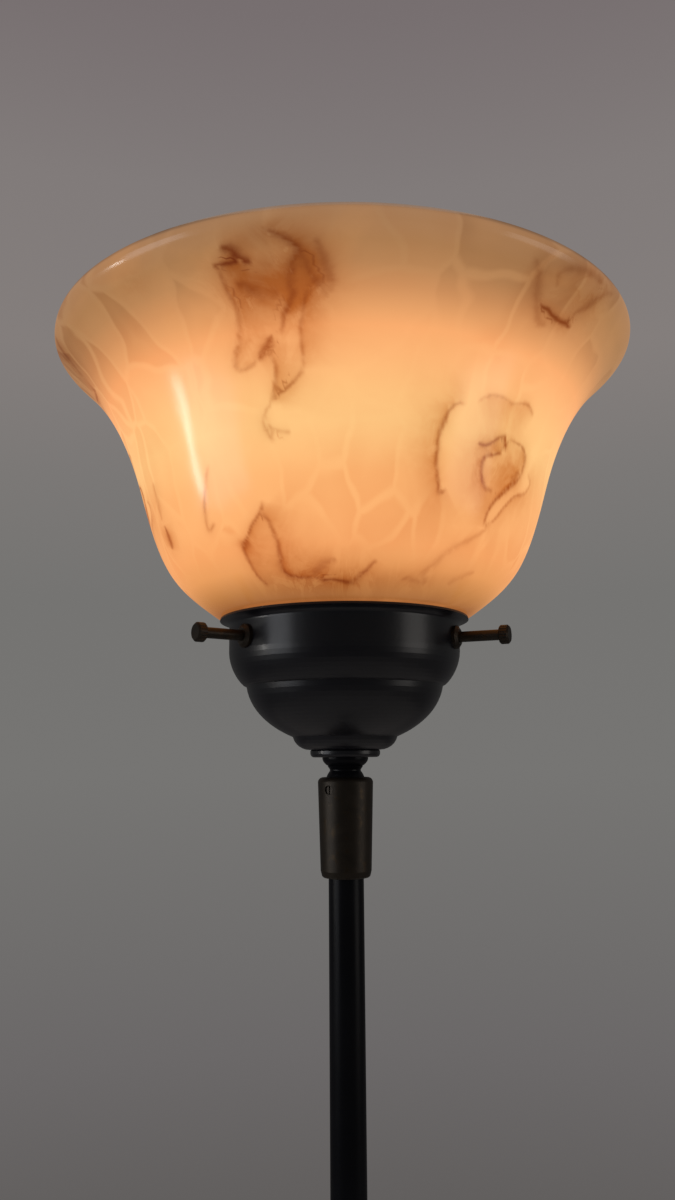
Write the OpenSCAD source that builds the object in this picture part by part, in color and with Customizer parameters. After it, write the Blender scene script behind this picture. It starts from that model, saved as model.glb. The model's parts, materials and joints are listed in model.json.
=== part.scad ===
// Torchiere floor lamp. A weighted round base carries a pole of three screwed
// tubes. A ball joint on top of the pole carries a spun metal gallery, which
// holds a lampholder with its bulb and an upturned glass bell.
// Millimetres, +Z up, origin at the centre of the underside of the base.

/* [Overall] */
// Height from the floor to the rim of the glass
lamp_h = 1750; // [1300:10:2000]
// Diameter of the base
base_d = 280; // [240:5:340]
// Diameter of the glass bell across its rim
bell_d = 272; // [230:2:340]

/* [Base] */
// Thickness of the felt pad under the base
felt_t = 2.5; // [1:0.5:5]
// Thickness of the cast weight
weight_t = 16; // [14:0.5:24]
// Height of the hub on top of the cast weight
hub_h = 11.5; // [9:0.5:18]
// Diameter of that hub
hub_d = 60; // [48:1:80]
// Thickness of metal left over the nut pocket
hub_web = 6; // [4:0.5:8]
// Diameter of the nut pocket under the weight
pocket_d = 40; // [34:1:46]
// Width of the lead channel under the weight
channel_w = 9; // [8:0.5:14]
// Height of the lead channel
channel_h = 9; // [8:0.5:11]
// Sheet thickness of the spun cover
cover_t = 1.2; // [0.8:0.1:2]
// Gap between the cover's hem and the floor
cover_lift = 1.5; // [0.5:0.25:2.5]
// How far the rolled hem stands out from the skirt
hem = 1.2; // [0.8:0.1:2]
// Height of the straight skirt, above the floor
skirt_h = 15; // [14:0.5:18]
// Gap between the weight and the cover's skirt
weight_gap = 5; // [3:0.5:12]
// Distance from the lamp's axis to the terminal block's centre
block_y = 70; // [60:1:80]
// Height of the lead's way out through the skirt
inlet_z = 9.2; // [9:0.1:9.5]
// Bore of the rubber bush for the lead
inlet_d = 6.6; // [5:0.1:7]

/* [Pole] */
// Outside diameter of the tubes
tube_d = 16; // [14:0.25:20]
// Wall of the tubes
tube_t = 1.2; // [0.8:0.1:1.4]
// Largest diameter of the turned foot
foot_d = 52; // [44:1:64]
// Height of the turned foot
foot_h = 30; // [24:1:50]
// Thickness of the floor of the foot
foot_web = 9; // [5:0.5:12]
// How far a joiner reaches into each tube
joiner_l = 25; // [15:1:40]
// Thickness of a joiner's collar
collar_t = 2; // [1:0.5:6]
// Bore of the joiners
joiner_bore = 9; // [6:0.5:10]

/* [Hardware] */
// Thread of the hollow rod, the stem and their nuts
thread_d = 10; // [9.5:0.5:12]
// Bore of the hollow rod and the stem
thread_bore = 6.4; // [5.5:0.1:6.6]
// Wall of those nuts at their flats
nut_wall = 2; // [1.75:0.25:3.5]
// Height of those nuts
nut_h = 4; // [3:0.5:5]
// Diameter of the lead inside the lamp
flex_d = 3.5; // [3:0.1:4.2]

/* [Ball joint] */
// Wall of the bush between the tube and the housing
bush_t = 1.2; // [1:0.1:2]
// Wall of the housing beside the ball
housing_wall = 3.4; // [3:0.1:5]
// How much the housing narrows to its lower end, on the radius
housing_taper = 1.1; // [0:0.1:1.4]
// Length of the housing below the ball's centre
housing_l = 41.5; // [37:0.5:60]
// Height of the housing's mouth above the ball's centre
mouth_h = 3; // [2.5:0.1:3.5]
// Rounding of the housing's top edge
mouth_round = 2.4; // [1:0.1:3]
// How much the ball's neck is smaller than the ball, on the radius
neck_step = 2.1; // [1.8:0.1:2.6]
// Height of the stem's shoulder above the ball's centre
stem_h = 12; // [11:0.5:16]
// Diameter of the stem's shoulder
shoulder_d = 21.2; // [19:0.2:26]
// Diameter of the locking screw
grub_d = 4; // [3:0.5:4]
// Depth of the locking screw below the ball's centre
grub_drop = 2.5; // [2.2:0.1:2.7]
// Direction of the locking screw, from +X
grub_az = 225; // [180:5:270]

/* [Gallery] */
// Diameter of the washer under the gallery
washer_d = 32.3; // [30:0.1:34]
// Thickness of that washer
washer_t = 3.4; // [2:0.1:5]
// Sheet thickness of the gallery
gallery_t = 1; // [0.8:0.1:1.4]
// Height of the gallery to the top of its lip
gallery_h = 60.5; // [58:0.5:70]
// How far the lip stands out from the drum
lip = 4.4; // [3:0.1:5]
// Gap between the glass neck and the inside of the drum
neck_gap = 4; // [3.5:0.1:5]
// Radius where the small bottom bowl ends
cup_r = 24.3; // [20:0.1:26]
// Thread of the thumbscrews
screw_d = 5; // [4:0.5:6]
// Depth of the thumbscrews below the top of the lip
screw_drop = 11; // [10:0.5:14]
// Reach of a thumbscrew from the drum to its outer end
screw_reach = 25; // [20:0.5:30]
// Diameter of a thumbscrew's head
head_d = 8.5; // [8:0.1:12]
// Length of a thumbscrew's head
head_l = 4.4; // [3:0.1:8]
// Diameter of a thumbscrew's boss
boss_d = 10.6; // [10:0.1:12]
// How far a boss stands out from the drum
boss_t = 2.5; // [2:0.1:4]
// Length of the soft pad on a thumbscrew's tip
pad_l = 2; // [1:0.1:2.5]

/* [Glass bell] */
// Outside diameter of the plain neck
neck_d = 98; // [90:1:120]
// Thickness of the glass
glass_t = 3.8; // [3:0.1:5]
// Height of the rim above the gallery's lip
bell_h = 131; // [100:0.5:160]
// Radius of the waist, half way up
waist_r = 96; // [90:0.5:104]
// Height of the waist above the lip
waist_h = 59; // [50:1:66]
// Lean of the wall at the waist, out from upright
waist_lean = 15.5; // [5:0.5:25]
// Rise of the wall just above the lip, up from level
foot_rise = 36; // [20:1:45]
// How far the rolled edge bulges past the rim, on the radius
edge_bulge = 5.2; // [2:0.1:8]

/* [Lampholder and bulb] */
// Outside diameter of the lampholder
holder_d = 39; // [38:0.5:46]
// Height of its lower cap
cap_h = 21.4; // [20:0.2:30]
// Height of its skirt
skirt_l = 31; // [30:0.5:40]
// Wall of the cap and the skirt
holder_t = 1.8; // [1.2:0.1:2]
// Diameter of the bulb's screw cap
bulb_cap_d = 26; // [25.6:0.1:26.2]
// Diameter of the bulb
bulb_d = 60; // [45:1:65]
// Length of the bulb, contact to top
bulb_l = 105; // [98:1:125]

/* [Fits] */
// Radial gap of a screwed or pushed fit
fit = 0.05; // [0.02:0.01:0.1]
// Radial gap of a fit that turns or slides
run_fit = 0.1; // [0.05:0.01:0.2]
// Gap between surfaces that only rest near each other
ease = 0.3; // [0.2:0.05:0.4]

/* [Hidden] */
$fn = 96;
far = 400;
// Thumbscrews
screw_n = 3;

// Heights in the base
weight_top = felt_t + weight_t;
hub_top = weight_top + hub_h;
pocket_top = hub_top - hub_web;
cover_top = hub_top + cover_t;
flex_z = felt_t + channel_h / 2 - 0.5;
flex_bend = 10;
rod_foot = flex_z + flex_bend - 0.5;
base_washer_t = 1.5;

// Radii in the base
skirt_r = base_d / 2 - hem;
weight_r = skirt_r - cover_t - weight_gap;

// The pole
thread_r = thread_d / 2;
nut_af = thread_d + 2 * nut_wall;
bore_r = thread_bore / 2;
flex_r = flex_d / 2;
tube_r = tube_d / 2;
tube_ri = tube_r - tube_t;
tube_foot = cover_top + foot_web;
foot_top = cover_top + foot_h;
rod_top = foot_top - 4;

// The ball joint, where the housing's bore takes the bush and the ball
housing_bore = tube_r + fit + bush_t + fit;
ball_r = housing_bore - fit;
ball_z = lamp_h - (stem_h + washer_t + gallery_h + bell_h);
housing_r = housing_bore + housing_wall;
neck_r = ball_r - neck_step;
grub_r = grub_d / 2;
seat_top = -(grub_drop + grub_r + 0.5);
seat_foot = seat_top - 8;
bush_top = seat_foot - 7;
bush_lip = 1.2;
tube_top = ball_z + bush_top - bush_lip;
tube_l = (tube_top - tube_foot - 2 * collar_t) / 3;

// Heights on the head, above the ball's centre
gallery_z = stem_h + washer_t;
lip_z = gallery_z + gallery_h;
screw_z = lip_z - screw_drop;
nut_z = gallery_z + gallery_t;
cap_z = nut_z + nut_h + 0.2;
stem_top = cap_z + 13.4;
core_z = stem_top + 2;
core_h = 10;
shell_z = core_z + core_h;
skirt_z = cap_z + cap_h;
holder_top = skirt_z + skirt_l;
tip_z = shell_z + 1.6;

// Radii on the head
neck_glass_r = neck_d / 2;
drum_r = neck_glass_r + neck_gap + gallery_t;
pad_r = screw_d / 2 - 0.3;
screw_r = screw_d / 2 - run_fit;
pad_start = neck_glass_r + ease;
screw_tip = pad_start + pad_l + run_fit;
screw_end = drum_r + screw_reach;
holder_r = holder_d / 2;
shell_ri = bulb_cap_d / 2 + ease;
shell_t = 0.6;

// Points along a cubic curve with four control points
function curve(p, n) = [
    for (i = [0:n])
        let (t = i / n, s = 1 - t)
        s * s * s * p[0] + 3 * s * s * t * p[1] + 3 * s * t * t * p[2] + t * t * t * p[3]
];
// Points along an arc about a centre
function arc(c, r, a0, a1, n) = [
    for (i = [0:n])
        let (a = a0 + (a1 - a0) * i / n)
        c + r * [cos(a), sin(a)]
];
function without_first(p) = [for (i = [1:len(p) - 1]) p[i]];
function backwards(p) = [for (i = [len(p) - 1:-1:0]) p[i]];
function left_of(v) = [-v[1], v[0]] / norm(v);
// The path moved sideways to its left, with its corners kept parallel
function beside(p, d) = [
    for (i = [0:len(p) - 1])
        let (
            before = left_of(p[max(i, 1)] - p[max(i, 1) - 1]),
            after = left_of(p[min(i, len(p) - 2) + 1] - p[min(i, len(p) - 2)])
        )
        p[i] + d * (before + after) / (1 + before * after)
];
// The outline of a sheet whose outer side is the path
function sheet(p, t) = concat(p, backwards(beside(p, t)));

// Puts its children on the head, in heights above the ball's centre
module on_head() {
    translate([0, 0, ball_z]) children();
}

// Turns a shape that lies along +X to the place of thumbscrew i
module at_screw(i) {
    on_head() rotate([0, 0, 90 + i * 360 / screw_n]) translate([0, 0, screw_z]) children();
}

// A plain tube between two heights
module tube(r, ri, z0, z1) {
    difference() {
        translate([0, 0, z0]) cylinder(r = r, h = z1 - z0);
        translate([0, 0, z0 - 1]) cylinder(r = ri, h = z1 - z0 + 2);
    }
}

// A hexagon nut standing at a height
module nut(z) {
    difference() {
        translate([0, 0, z]) cylinder(d = nut_af / cos(30), h = nut_h, $fn = 6);
        translate([0, 0, z - 1]) cylinder(r = thread_r + fit, h = nut_h + 2);
    }
}

module base_felt() {
    color("#3a3a38") cylinder(r = weight_r, h = felt_t);
}

// The cast weight has a hub under the pole, a pocket for the nut, a channel
// for the lead and a recess for the terminal block
module base_weight() {
    color("#2b2b2d") difference() {
        union() {
            rotate_extrude() polygon([
                [0, felt_t],
                [weight_r - 1.5, felt_t],
                [weight_r, felt_t + 1.5],
                [weight_r, weight_top - 3],
                [weight_r - 3, weight_top],
                [0, weight_top],
            ]);
            cylinder(d = hub_d, h = hub_top);
        }
        translate([0, 0, -1]) cylinder(d = hub_d + 1, h = felt_t + 1);
        cylinder(d = pocket_d, h = pocket_top);
        cylinder(r = thread_r + ease, h = hub_top + 1);
        translate([-channel_w / 2, 0, 0]) cube([channel_w, far, felt_t + channel_h]);
        translate([-block_w / 2 - 2, block_y - block_l / 2 - 3, 0])
            cube([block_w + 4, block_l + 6, block_top + 1]);
    }
}

// The cover's outer side, from the hem over the shoulder to the flat centre
function cover_path() = concat(
    [[skirt_r, cover_lift + 2], [skirt_r, skirt_h]],
    without_first(curve([
        [skirt_r, skirt_h],
        [skirt_r, skirt_h + 6],
        [skirt_r - 4, skirt_h + 8],
        [skirt_r - 14, skirt_h + 8.6],
    ], 8)),
    without_first(curve([
        [skirt_r - 14, skirt_h + 8.6],
        [skirt_r - 60, cover_top - 4.5],
        [hub_d / 2 + 22, cover_top - 3.5],
        [hub_d / 2 + 8, cover_top],
    ], 12)),
    [[thread_r + ease, cover_top]]
);

module base_cover() {
    color("#17181b") difference() {
        union() {
            rotate_extrude() polygon(sheet(cover_path(), cover_t));
            rotate_extrude() translate([skirt_r - cover_t, cover_lift])
                square([cover_t + hem, 2.4]);
        }
        translate([0, 0, inlet_z]) rotate([-90, 0, 0]) cylinder(d = inlet_d + 2, h = far);
    }
}

// A rubber bush snapped into the skirt, with a lip on each side of the sheet
module cord_bush() {
    color("#101010") translate([0, 0, inlet_z]) rotate([-90, 0, 0]) difference() {
        union() {
            intersection() {
                cylinder(d = inlet_d + 2 - 2 * fit, h = far);
                ring_under(skirt_r - cover_t - 2, skirt_r + hem);
            }
            intersection() {
                cylinder(d = inlet_d + 3.8, h = far);
                union() {
                    ring_under(skirt_r, skirt_r + hem);
                    ring_under(skirt_r - cover_t - 2, skirt_r - cover_t);
                }
            }
        }
        cylinder(d = inlet_d, h = far);
    }
}

// A ring about the lamp's axis, for shapes drawn along the lead's inlet
module ring_under(r0, r1) {
    rotate([90, 0, 0]) difference() {
        cylinder(r = r1, h = 40, center = true);
        cylinder(r = r0, h = 42, center = true);
    }
}

// The terminal block, with a way through for each wire under two screws
block_w = 20;
block_l = 24;
block_z = felt_t + 0.5;
block_top = felt_t + channel_h + 2;
wire_x = 5;
block_screw_y = 6;
block_screw_h = 5;

module terminal_block() {
    color("#d8d4c8") difference() {
        translate([-block_w / 2, block_y - block_l / 2, block_z])
            cube([block_w, block_l, block_top - block_z]);
        for (x = [-wire_x, wire_x]) {
            translate([x, block_y - block_l, flex_z]) rotate([-90, 0, 0])
                cylinder(d = 3, h = 2 * block_l);
            for (y = [-block_screw_y, block_screw_y])
                translate([x, block_y + y, block_top - block_screw_h])
                    cylinder(d = 3.4 + 2 * fit, h = far);
        }
    }
}

module terminal_screws() {
    color("#b9a46a")
        for (x = [-wire_x, wire_x], y = [-block_screw_y, block_screw_y])
            translate([x, block_y + y, block_top - block_screw_h]) difference() {
                cylinder(d = 3.4, h = block_screw_h - 1);
                translate([-far / 2, -0.4, block_screw_h - 2]) cube([far, 0.8, 2]);
            }
}

// The hollow threaded rod that pulls weight, cover and pole together
module base_rod() {
    color("#a8a8a4") tube(thread_r, bore_r, rod_foot, rod_top);
}

module base_washer() {
    color("#a8a8a4")
        tube(pocket_d / 2 - 6, thread_r + ease, pocket_top - base_washer_t, pocket_top);
}

module base_nut() {
    color("#a8a8a4") nut(pocket_top - base_washer_t - nut_h);
}

// The turned foot stands on the cover and takes the lowest tube
module pole_foot() {
    color("#17181b") difference() {
        rotate_extrude() polygon(concat(
            [[0, cover_top], [foot_d / 2 - 1, cover_top], [foot_d / 2, cover_top + 1]],
            curve([
                [foot_d / 2, cover_top + 3],
                [tube_r + 9, cover_top + 6],
                [tube_r + 3.5, cover_top + 10],
                [tube_r + 3, foot_top - 1],
            ], 12),
            [[tube_r + 2, foot_top], [0, foot_top]]
        ));
        translate([0, 0, tube_foot]) cylinder(r = tube_r + fit, h = foot_h);
        translate([0, 0, cover_top - 1]) cylinder(r = thread_r + fit, h = foot_h);
    }
}

// The bush that holds the lowest tube to the rod
module foot_bush() {
    color("#a8a8a4") tube(tube_ri - fit, thread_r + fit, tube_foot, foot_top);
}

module pole_tube(i) {
    z0 = tube_foot + i * (tube_l + collar_t);
    color("#121316") tube(tube_r, tube_ri, z0, z0 + tube_l);
}

module pole_lower() {
    pole_tube(0);
}

module pole_middle() {
    pole_tube(1);
}

module pole_upper() {
    pole_tube(2);
}

// A joiner with a spigot into each tube and a flush collar between them
module joiner(i) {
    z = tube_foot + i * (tube_l + collar_t);
    color("#5c5a55") difference() {
        union() {
            translate([0, 0, z - collar_t - joiner_l])
                cylinder(r = tube_ri - fit, h = 2 * joiner_l + collar_t);
            translate([0, 0, z - collar_t]) cylinder(r = tube_r, h = collar_t);
        }
        translate([0, 0, z - collar_t - joiner_l - 1])
            cylinder(d = joiner_bore, h = 2 * joiner_l + collar_t + 2);
    }
}

module joiner_lower() {
    joiner(1);
}

module joiner_upper() {
    joiner(2);
}

// The lead from the terminal block, round a bend and up to below the ball
module inner_flex() {
    inner_end = block_y - block_l / 2;
    bend_z = flex_z + flex_bend;
    color("#e4e0d6") union() {
        translate([0, flex_bend, flex_z]) rotate([-90, 0, 0])
            cylinder(r = flex_r, h = inner_end - flex_bend);
        translate([0, flex_bend, bend_z]) rotate([0, 90, 0]) rotate([0, 0, -90])
            rotate_extrude(angle = 90) translate([flex_bend, 0]) circle(r = flex_r);
        translate([0, 0, bend_z])
            cylinder(r = flex_r, h = ball_z - ball_r - 0.8 - bend_z);
    }
}

// The bush on the pole's end: it centres the tube in the housing, and its
// lip covers the tube's end and carries the spring
module top_bush() {
    color("#8d8778") on_head() {
        tube(housing_bore - fit, tube_r + fit, -housing_l + 1.5, bush_top - bush_lip);
        tube(housing_bore - fit, tube_ri - 1.5, bush_top - bush_lip, bush_top);
    }
}

// The housing tapers down over the pole. Its mouth closes round the ball.
module swivel_housing() {
    low_r = housing_r - housing_taper;
    color("#2c2622") on_head() difference() {
        rotate_extrude() polygon(concat(
            [[0, -housing_l], [low_r - 1.2, -housing_l], [low_r - 0.6, -housing_l + 0.6]],
            [[low_r, -housing_l + 3]],
            arc([housing_r - mouth_round, mouth_h - mouth_round], mouth_round, 0, 90, 8),
            [[0, mouth_h]]
        ));
        translate([0, 0, -housing_l - 1]) cylinder(r = housing_bore, h = housing_l + 1);
        sphere(r = housing_bore);
        grub_hole() cylinder(r = grub_r + fit, h = far);
    }
}

module grub_hole() {
    rotate([0, 0, grub_az]) translate([0, 0, -grub_drop]) rotate([0, 90, 0]) children();
}

// The slotted screw that locks the ball
module grub_screw() {
    grub_l = housing_wall - 1.2;
    color("#6c6458") on_head() grub_hole()
        translate([0, 0, housing_bore + ease]) difference() {
            cylinder(r = grub_r, h = grub_l);
            translate([-far / 2, -0.35, grub_l - 0.9]) cube([far, 0.7, 2]);
        }
}

// The spring under the ball's seat, a wire swept round a helix
spring_wire = 0.7;
spring_turns = 3;
spring_steps = 16 * spring_turns;
spring_sides = 8;

module seat_spring() {
    mean_r = housing_bore - spring_wire - 1.2;
    z0 = bush_top + spring_wire + 0.1;
    rise = seat_foot - bush_top - 2 * spring_wire - 0.2;
    points = [
        for (i = [0:spring_steps], j = [0:spring_sides - 1])
            let (
                a = 360 * spring_turns * i / spring_steps,
                b = 360 * j / spring_sides,
                r = mean_r + spring_wire * cos(b)
            )
            [r * cos(a), r * sin(a), z0 + rise * i / spring_steps + spring_wire * sin(b)]
    ];
    last = spring_steps * spring_sides;
    faces = concat(
        [
            for (i = [0:spring_steps - 1], j = [0:spring_sides - 1])
                let (k = (j + 1) % spring_sides, s = i * spring_sides, e = s + spring_sides)
                [s + j, e + j, e + k, s + k]
        ],
        [[for (j = [0:spring_sides - 1]) j]],
        [[for (j = [spring_sides - 1:-1:0]) last + j]]
    );
    color("#9a9a96") on_head() polyhedron(points = points, faces = faces, convexity = 8);
}

// The cup that the ball turns in
module ball_seat() {
    color("#b08d4a") on_head() difference() {
        translate([0, 0, seat_foot])
            cylinder(r = housing_bore - run_fit, h = seat_top - seat_foot);
        sphere(r = ball_r + fit);
        translate([0, 0, seat_foot - 1]) cylinder(r = bore_r + ease, h = far);
    }
}

// Ball, neck, shoulder and hollow threaded stem, turned from one bar
module ball_stem() {
    waist = sqrt(ball_r * ball_r - neck_r * neck_r);
    shoulder_r = shoulder_d / 2;
    ball_cut = ball_r - 1.2;
    color("#14100f") on_head() difference() {
        union() {
            sphere(r = ball_r);
            rotate_extrude() polygon(concat(
                [[0, 0], [neck_r, waist], [neck_r, waist + 0.6]],
                [[neck_r + 1, stem_h - 4.1], [neck_r + 0.8, stem_h - 3.8]],
                curve([
                    [neck_r + 1.4, stem_h - 3.6],
                    [shoulder_r - 1.2, stem_h - 3],
                    [shoulder_r, stem_h - 1.6],
                    [shoulder_r, stem_h - 0.6],
                ], 5),
                [[shoulder_r, stem_h], [0, stem_h]]
            ));
            cylinder(r = thread_r, h = stem_top);
        }
        translate([0, 0, -ball_cut - far]) cylinder(r = far / 4, h = far);
        translate([0, 0, -far / 2]) cylinder(r = bore_r, h = far);
        translate([0, 0, -ball_cut - 1]) cylinder(r1 = bore_r + 2.2, r2 = bore_r, h = 5);
    }
}

// The washer between the stem's shoulder and the gallery
module check_washer() {
    r = washer_d / 2;
    color("#1b1817") on_head() difference() {
        rotate_extrude() polygon(concat(
            [[0, stem_h], [r - 2.4, stem_h]],
            arc([r - 1.8, stem_h + 1.8], 1.8, -80, 0, 6),
            [[r, gallery_z - 0.5], [r - 0.5, gallery_z], [0, gallery_z]]
        ));
        translate([0, 0, stem_h - 1]) cylinder(r = thread_r + fit, h = washer_t + 2);
    }
}

// The gallery's outer side: a small cup, a bowl, a rounded step up to the
// drum, and a lip that turns out under the glass
step_r = drum_r - 8.2;
step_z = gallery_z + gallery_h / 2 - 1.2;
drum_z = step_z + 15.5;

function gallery_path() = concat(
    [[thread_r + fit, gallery_z]],
    curve([
        [cup_r - 8, gallery_z],
        [cup_r - 4.3, gallery_z],
        [cup_r - 0.9, gallery_z + 2.4],
        [cup_r, gallery_z + 6],
    ], 6),
    without_first(curve([
        [cup_r, gallery_z + 6],
        [cup_r + 9.7, gallery_z + 10],
        [step_r - 1.8, gallery_z + 17.6],
        [step_r, step_z],
    ], 14)),
    curve([
        [step_r + 1.4, step_z + 0.7],
        [drum_r - 3.5, step_z + 3.5],
        [drum_r - 0.2, step_z + 9.5],
        [drum_r, drum_z],
    ], 8),
    curve([
        [drum_r, lip_z - 4.2],
        [drum_r, lip_z - 2.6],
        [drum_r + 1.4, lip_z - 1.6],
        [drum_r + lip, lip_z - gallery_t],
    ], 6)
);

module gallery() {
    color("#12141a") union() {
        difference() {
            on_head() rotate_extrude() polygon(sheet(gallery_path(), gallery_t));
            for (i = [0:screw_n - 1]) at_screw(i) rotate([0, 90, 0])
                cylinder(r = boss_hub_r + fit, h = far);
        }
    }
}

// Three threaded bosses riveted through the drum's wall
boss_hub_r = screw_d / 2 + 1.4;

module screw_bosses() {
    color("#16130f") for (i = [0:screw_n - 1]) at_screw(i) difference() {
        union() {
            difference() {
                rotate([0, 90, 0]) rotate_extrude() polygon([
                    [0, drum_r - 4],
                    [boss_d / 2, drum_r - 4],
                    [boss_d / 2, drum_r + boss_t - 1.2],
                    [boss_d / 2 - 1.6, drum_r + boss_t],
                    [0, drum_r + boss_t],
                ]);
                cylinder(r = drum_r, h = 3 * boss_d, center = true);
            }
            translate([drum_r - gallery_t - 0.4, 0, 0]) rotate([0, 90, 0])
                cylinder(r = boss_hub_r, h = gallery_t + 1);
        }
        rotate([0, 90, 0]) cylinder(d = screw_d, h = far);
    }
}

module stem_nut() {
    color("#a8a8a4") on_head() nut(nut_z);
}

// The lampholder's lower cap screws on to the stem
module holder_cap() {
    path = [
        [thread_r + fit, cap_z],
        [thread_r + 3, cap_z],
        [thread_r + 3, cap_z + 2.5],
        [holder_r - 5, cap_z + 4],
        [holder_r - 1.5, cap_z + 7],
        [holder_r, cap_z + 11],
        [holder_r, skirt_z],
    ];
    color("#1b1b1b") on_head() union() {
        rotate_extrude() polygon(sheet(path, holder_t));
        tube(thread_r + 2, thread_r + fit, cap_z, stem_top - 1);
    }
}

// The ceramic core, with a way through for each wire
module holder_core() {
    r = holder_r - holder_t - ease;
    color("#e6e0d2") on_head() difference() {
        translate([0, 0, core_z]) cylinder(r = r, h = core_h);
        for (x = [-9, 9]) {
            translate([x, 0, core_z - 1]) cylinder(d = 3, h = core_h + 2);
            translate([x, 0, core_z + core_h / 2]) rotate([-90, 0, 0])
                cylinder(d = 3 + 2 * fit, h = far);
        }
    }
}

// The screws that clamp the wires in the core
module holder_screws() {
    start = 4;
    l = sqrt(pow(holder_r - holder_t - ease, 2) - 81) - start - 1;
    color("#b9a46a") on_head() for (x = [-9, 9])
        translate([x, start, core_z + core_h / 2]) rotate([-90, 0, 0]) difference() {
            cylinder(d = 3, h = l);
            translate([-far / 2, -0.4, l - 0.8]) cube([far, 0.8, 2]);
        }
}

// The brass shell that the bulb screws into
module holder_shell() {
    color("#c8a24a") on_head() {
        tube(shell_ri + shell_t, shell_ri, shell_z, holder_top - 2);
        tube(shell_ri + shell_t, 7, shell_z, shell_z + shell_t);
    }
}

module holder_contact() {
    color("#c8a24a") on_head() translate([0, 0, shell_z]) {
        cylinder(r = 5, h = 0.6);
        cylinder(r = 3, h = 1.4);
    }
}

// The skirt round the shell, with a collar that keeps fingers off the brass
module holder_skirt() {
    lip_ri = shell_ri + 0.4;
    color("#1b1b1b") on_head() difference() {
        rotate_extrude() polygon([
            [lip_ri, skirt_z],
            [holder_r, skirt_z],
            [holder_r, skirt_z + 7],
            [holder_r - 1.2, skirt_z + 8],
            [holder_r - 1.2, holder_top - 1.5],
            [holder_r - 2.7, holder_top],
            [lip_ri, holder_top],
        ]);
        translate([0, 0, skirt_z - 1])
            cylinder(r = shell_ri + shell_t + 1, h = skirt_l - 1);
        translate([0, 0, skirt_z - 1])
            cylinder(r = holder_r - holder_t - ease + fit, h = shell_z - skirt_z + 1.1);
    }
}

module head_flex() {
    color("#e4e0d6") on_head() translate([0, 0, -ball_r + 3])
        cylinder(r = flex_r, h = core_z + ball_r - 3);
}

// A thumbscrew, with a bored tip and a fluted head
module thumbscrew(i) {
    head_start = screw_end - head_l;
    flutes = 18;
    color("#2a221d") at_screw(i) rotate([0, 90, 0]) difference() {
        union() {
            translate([0, 0, screw_tip]) cylinder(r = screw_r, h = head_start - screw_tip + 1);
            rotate_extrude() polygon([
                [0, head_start],
                [head_d / 2 - 0.6, head_start],
                [head_d / 2, head_start + 0.6],
                [head_d / 2, screw_end - 0.8],
                [head_d / 2 - 0.8, screw_end],
                [0, screw_end],
            ]);
        }
        translate([0, 0, screw_tip - 1]) cylinder(r = 1 + run_fit, h = pad_l + 1.2);
        for (k = [0:flutes - 1]) rotate([0, 0, k * 360 / flutes])
            translate([head_d / 2 + 0.1, 0, head_start - 1]) cylinder(r = 0.35, h = head_l + 2);
    }
}

module thumbscrew_1() {
    thumbscrew(0);
}

module thumbscrew_2() {
    thumbscrew(1);
}

module thumbscrew_3() {
    thumbscrew(2);
}

// The soft pad on a thumbscrew's tip, with a spigot that the screw turns on
module screw_pad(i) {
    color("#d9d4c6") at_screw(i) rotate([0, 90, 0]) {
        translate([0, 0, pad_start]) cylinder(r = pad_r, h = pad_l);
        translate([0, 0, pad_start]) cylinder(r = 1, h = 2 * pad_l);
    }
}

module screw_pad_1() {
    screw_pad(0);
}

module screw_pad_2() {
    screw_pad(1);
}

module screw_pad_3() {
    screw_pad(2);
}

// The bell's outer side, from its plain neck to its rim. The neck's end
// stands just above the inside of the gallery's rounded step.
neck_foot = lookup(neck_glass_r, beside(gallery_path(), gallery_t)) + 1.5 * ease;
bell_foot = [drum_r + lip - 0.9, lip_z + 0.9];
bell_bend = bell_foot + [4.5, 1.9];
waist = [waist_r, lip_z + waist_h];
waist_dir = [sin(waist_lean), cos(waist_lean)];
foot_dir = [cos(foot_rise), sin(foot_rise)];
rim = [bell_d / 2, lip_z + bell_h];

function bell_path() = concat(
    [[neck_glass_r, neck_foot]],
    curve([
        [neck_glass_r, lip_z - 10],
        [neck_glass_r, lip_z - 2],
        [neck_glass_r + 3, lip_z + 0.7],
        bell_foot,
    ], 8),
    without_first(curve([
        bell_foot,
        bell_foot + [2.2, 0.15],
        bell_bend - 1.8 * foot_dir,
        bell_bend,
    ], 5)),
    without_first(curve([
        bell_bend,
        bell_bend + 24 * foot_dir,
        waist - 38 * waist_dir,
        waist,
    ], 14)),
    without_first(curve([
        waist,
        waist + 63 * waist_dir,
        rim + [edge_bulge, -12],
        rim - [0, glass_t / 4],
    ], 18))
);

module glass_shade() {
    outer = bell_path();
    inner = beside(outer, glass_t);
    last = len(outer) - 1;
    top = [(outer[last][0] + inner[last][0]) / 2, lip_z + bell_h];
    color("#e9b878", 0.9) on_head() rotate_extrude()
        polygon(concat(outer, [top], backwards(inner)));
}

// The bulb: a round envelope on a drawn neck
bulb_r = bulb_d / 2;
bulb_z = tip_z + bulb_l - bulb_r;
bulb_neck_r = bulb_cap_d / 2 - 0.9;
bulb_cap_top = holder_top + 4;

module bulb_glass() {
    wall = 0.8;
    low = 30;
    join = [bulb_r * cos(low), bulb_z - bulb_r * sin(low)];
    path = concat(
        [[bulb_neck_r, bulb_cap_top - 7]],
        curve([
            [bulb_neck_r, bulb_cap_top + 1],
            [bulb_neck_r, bulb_cap_top + 12],
            join - 12 * [sin(low), cos(low)],
            join,
        ], 10),
        without_first(arc([0, bulb_z], bulb_r, -low, 90, 16))
    );
    inner = beside(path, wall);
    last = len(path) - 1;
    color("#fff1d8", 0.6) on_head() rotate_extrude()
        polygon(concat(path, [[0, bulb_z + bulb_r - wall]], backwards([for (i = [0:last - 1]) inner[i]])));
}

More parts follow.
